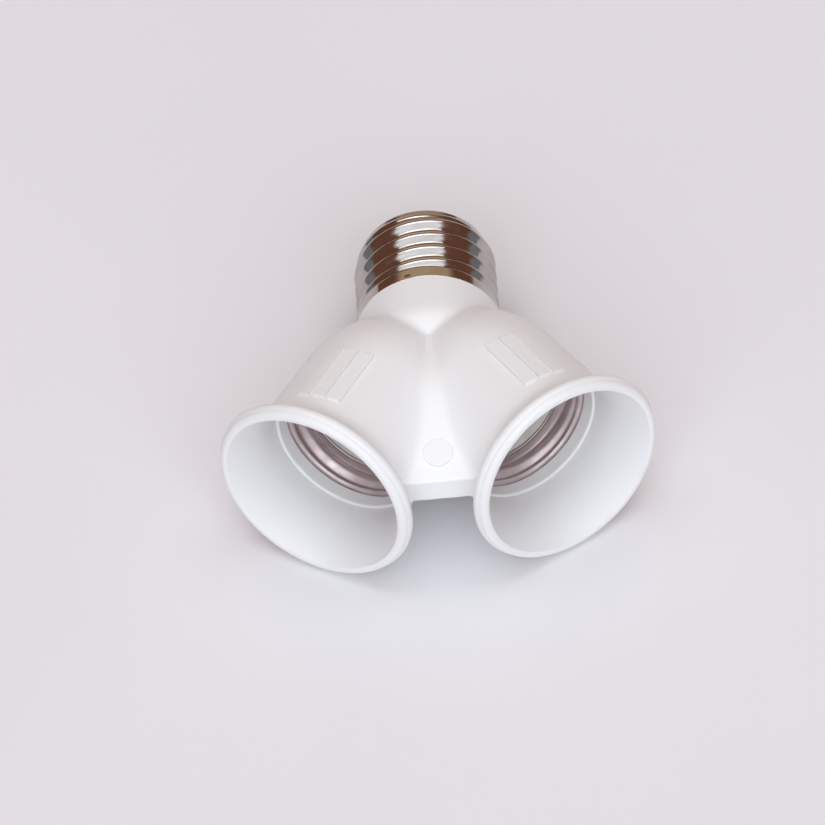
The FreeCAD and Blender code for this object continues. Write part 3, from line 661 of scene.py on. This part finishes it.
def blended(share, first, second):
    node = room_nodes.new("ShaderNodeMixShader")
    room_links.new(share, node.inputs["Fac"])
    room_links.new(first, node.inputs[1])
    room_links.new(second, node.inputs[2])
    return node.outputs["Shader"]


# %% Paint the back of the room
SHELF_SLOPE = (0.12, 0.28)    # upwards: from the floor to the shelf
WALL_SLOPE = (0.62, 0.74)     # upwards: from the shelf to the wall
CORNER_SLOPE = (0.38, 0.52)   # sideways: round the corner to the side walls
WINDOW_SLOPE = (0.80, 0.90)   # sideways: from a side wall to its low window
WINDOW_TOP = (0.30, 0.22)     # downwards: into the window
CEILING_SLOPE = (0.90, 0.96)  # upwards: to the ceiling

near_floor = background((0.10, 0.07, 0.06))
shelf = background((0.58, 0.42, 0.27))
far_wall = background((0.30, 0.094, 0.044))
side_wall = background((0.185, 0.082, 0.052))
side_window = background((0.88, 0.92, 1.0), 0.27)
ceiling = background((0.90, 0.94, 1.0), 1.0)

back = blended(between(upwards, *SHELF_SLOPE), near_floor, shelf)
back = blended(between(upwards, *WALL_SLOPE), back, far_wall)
back = blended(between(sideways, *CORNER_SLOPE), back, side_wall)
low_sides = blended(between(upwards, *WINDOW_TOP), back, side_window)
back = blended(between(sideways, *WINDOW_SLOPE), back, low_sides)
back = blended(between(upwards, *CEILING_SLOPE), back, ceiling)

# %% Paint the front and join it to the back
STRIP_SLOPE = (0.62, 0.74)    # upwards: from the front to the bright strip
AHEAD_SLOPE = (-0.10, -0.25)  # forwards: straight ahead the front starts early ...
ASIDE_SLOPE = (-0.48, -0.66)  # ... and at the sides it starts late
SIDES_SLOPE = (0.42, 0.56)    # sideways: from straight ahead to the sides

room_front = background((0.92, 0.945, 1.0), 0.88)
bright_strip = background((0.90, 0.94, 1.0), 1.3)

overhead = blended(between(upwards, *STRIP_SLOPE), room_front, bright_strip)
ahead = blended(between(backwards, *AHEAD_SLOPE), back, overhead)
aside = blended(between(backwards, *ASIDE_SLOPE), back, room_front)
room = blended(between(sideways, *SIDES_SLOPE), ahead, aside)
output = room_nodes.new("ShaderNodeOutputWorld")
room_links.new(room, output.inputs["Surface"])
print("the room is painted with", len(room_nodes), "nodes")

# %% [markdown]
# ## Camera
#
# The photograph was taken from about a metre away with a long view: the sides of the
# cap run almost parallel. These angles were found by laying the rims, the socket edges
# and the thread crests over the photograph. They are measured in the plane of the Y,
# which is tipped a few degrees from the table because the cap is thinner than the rims.

# %% Find where the camera stands and how it is turned
YAW = math.radians(-1.52)
LOOK_DOWN = math.radians(43.0)
ROLL = math.radians(-6.23)
OFFSET = Vector((3.15, 14.63, 983.5)) * MM    # right, up and forward to the meeting point

forward = Vector((math.sin(YAW) * math.cos(LOOK_DOWN), math.cos(YAW) * math.cos(LOOK_DOWN),
                  -math.sin(LOOK_DOWN)))
level = Vector((math.cos(YAW), -math.sin(YAW), 0))
upright = level.cross(forward)
right = level * math.cos(ROLL) + upright * math.sin(ROLL)
up = upright * math.cos(ROLL) - level * math.sin(ROLL)

body_axes = Matrix((RIGHTWARDS, cap_axis, RIGHTWARDS.cross(cap_axis))).transposed()
eye = body_axes @ -(right * OFFSET.x + up * OFFSET.y + forward * OFFSET.z) + meeting_point
turn = Matrix((body_axes @ right, body_axes @ up, body_axes @ -forward)).transposed()
print("camera at", [round(value, 3) for value in eye])

# %% Place the camera
PICTURE = 825                 # pixels each way
FOCAL_PIXELS = 5349           # focal length, in the photograph's pixels
SENSOR = 36.0
SIGHT = 20                    # metres: what is further away isn't drawn

camera_data = bpy.data.cameras.new("camera")
camera_data.sensor_width = SENSOR
camera_data.lens = SENSOR * FOCAL_PIXELS / PICTURE
camera_data.clip_end = SIGHT
camera = bpy.data.objects.new("camera", camera_data)
camera.matrix_world = Matrix.Translation(eye) @ turn.to_4x4()
bpy.context.scene.collection.objects.link(camera)
bpy.context.scene.camera = camera
print("lens:", round(camera_data.lens, 1), "mm")

# %% [markdown]
# ## Colour view
#
# The Standard view shows a colour about as it is written, where a filmic one would grey
# the whites.

# %% Finish
bpy.context.scene.view_settings.view_transform = "Standard"
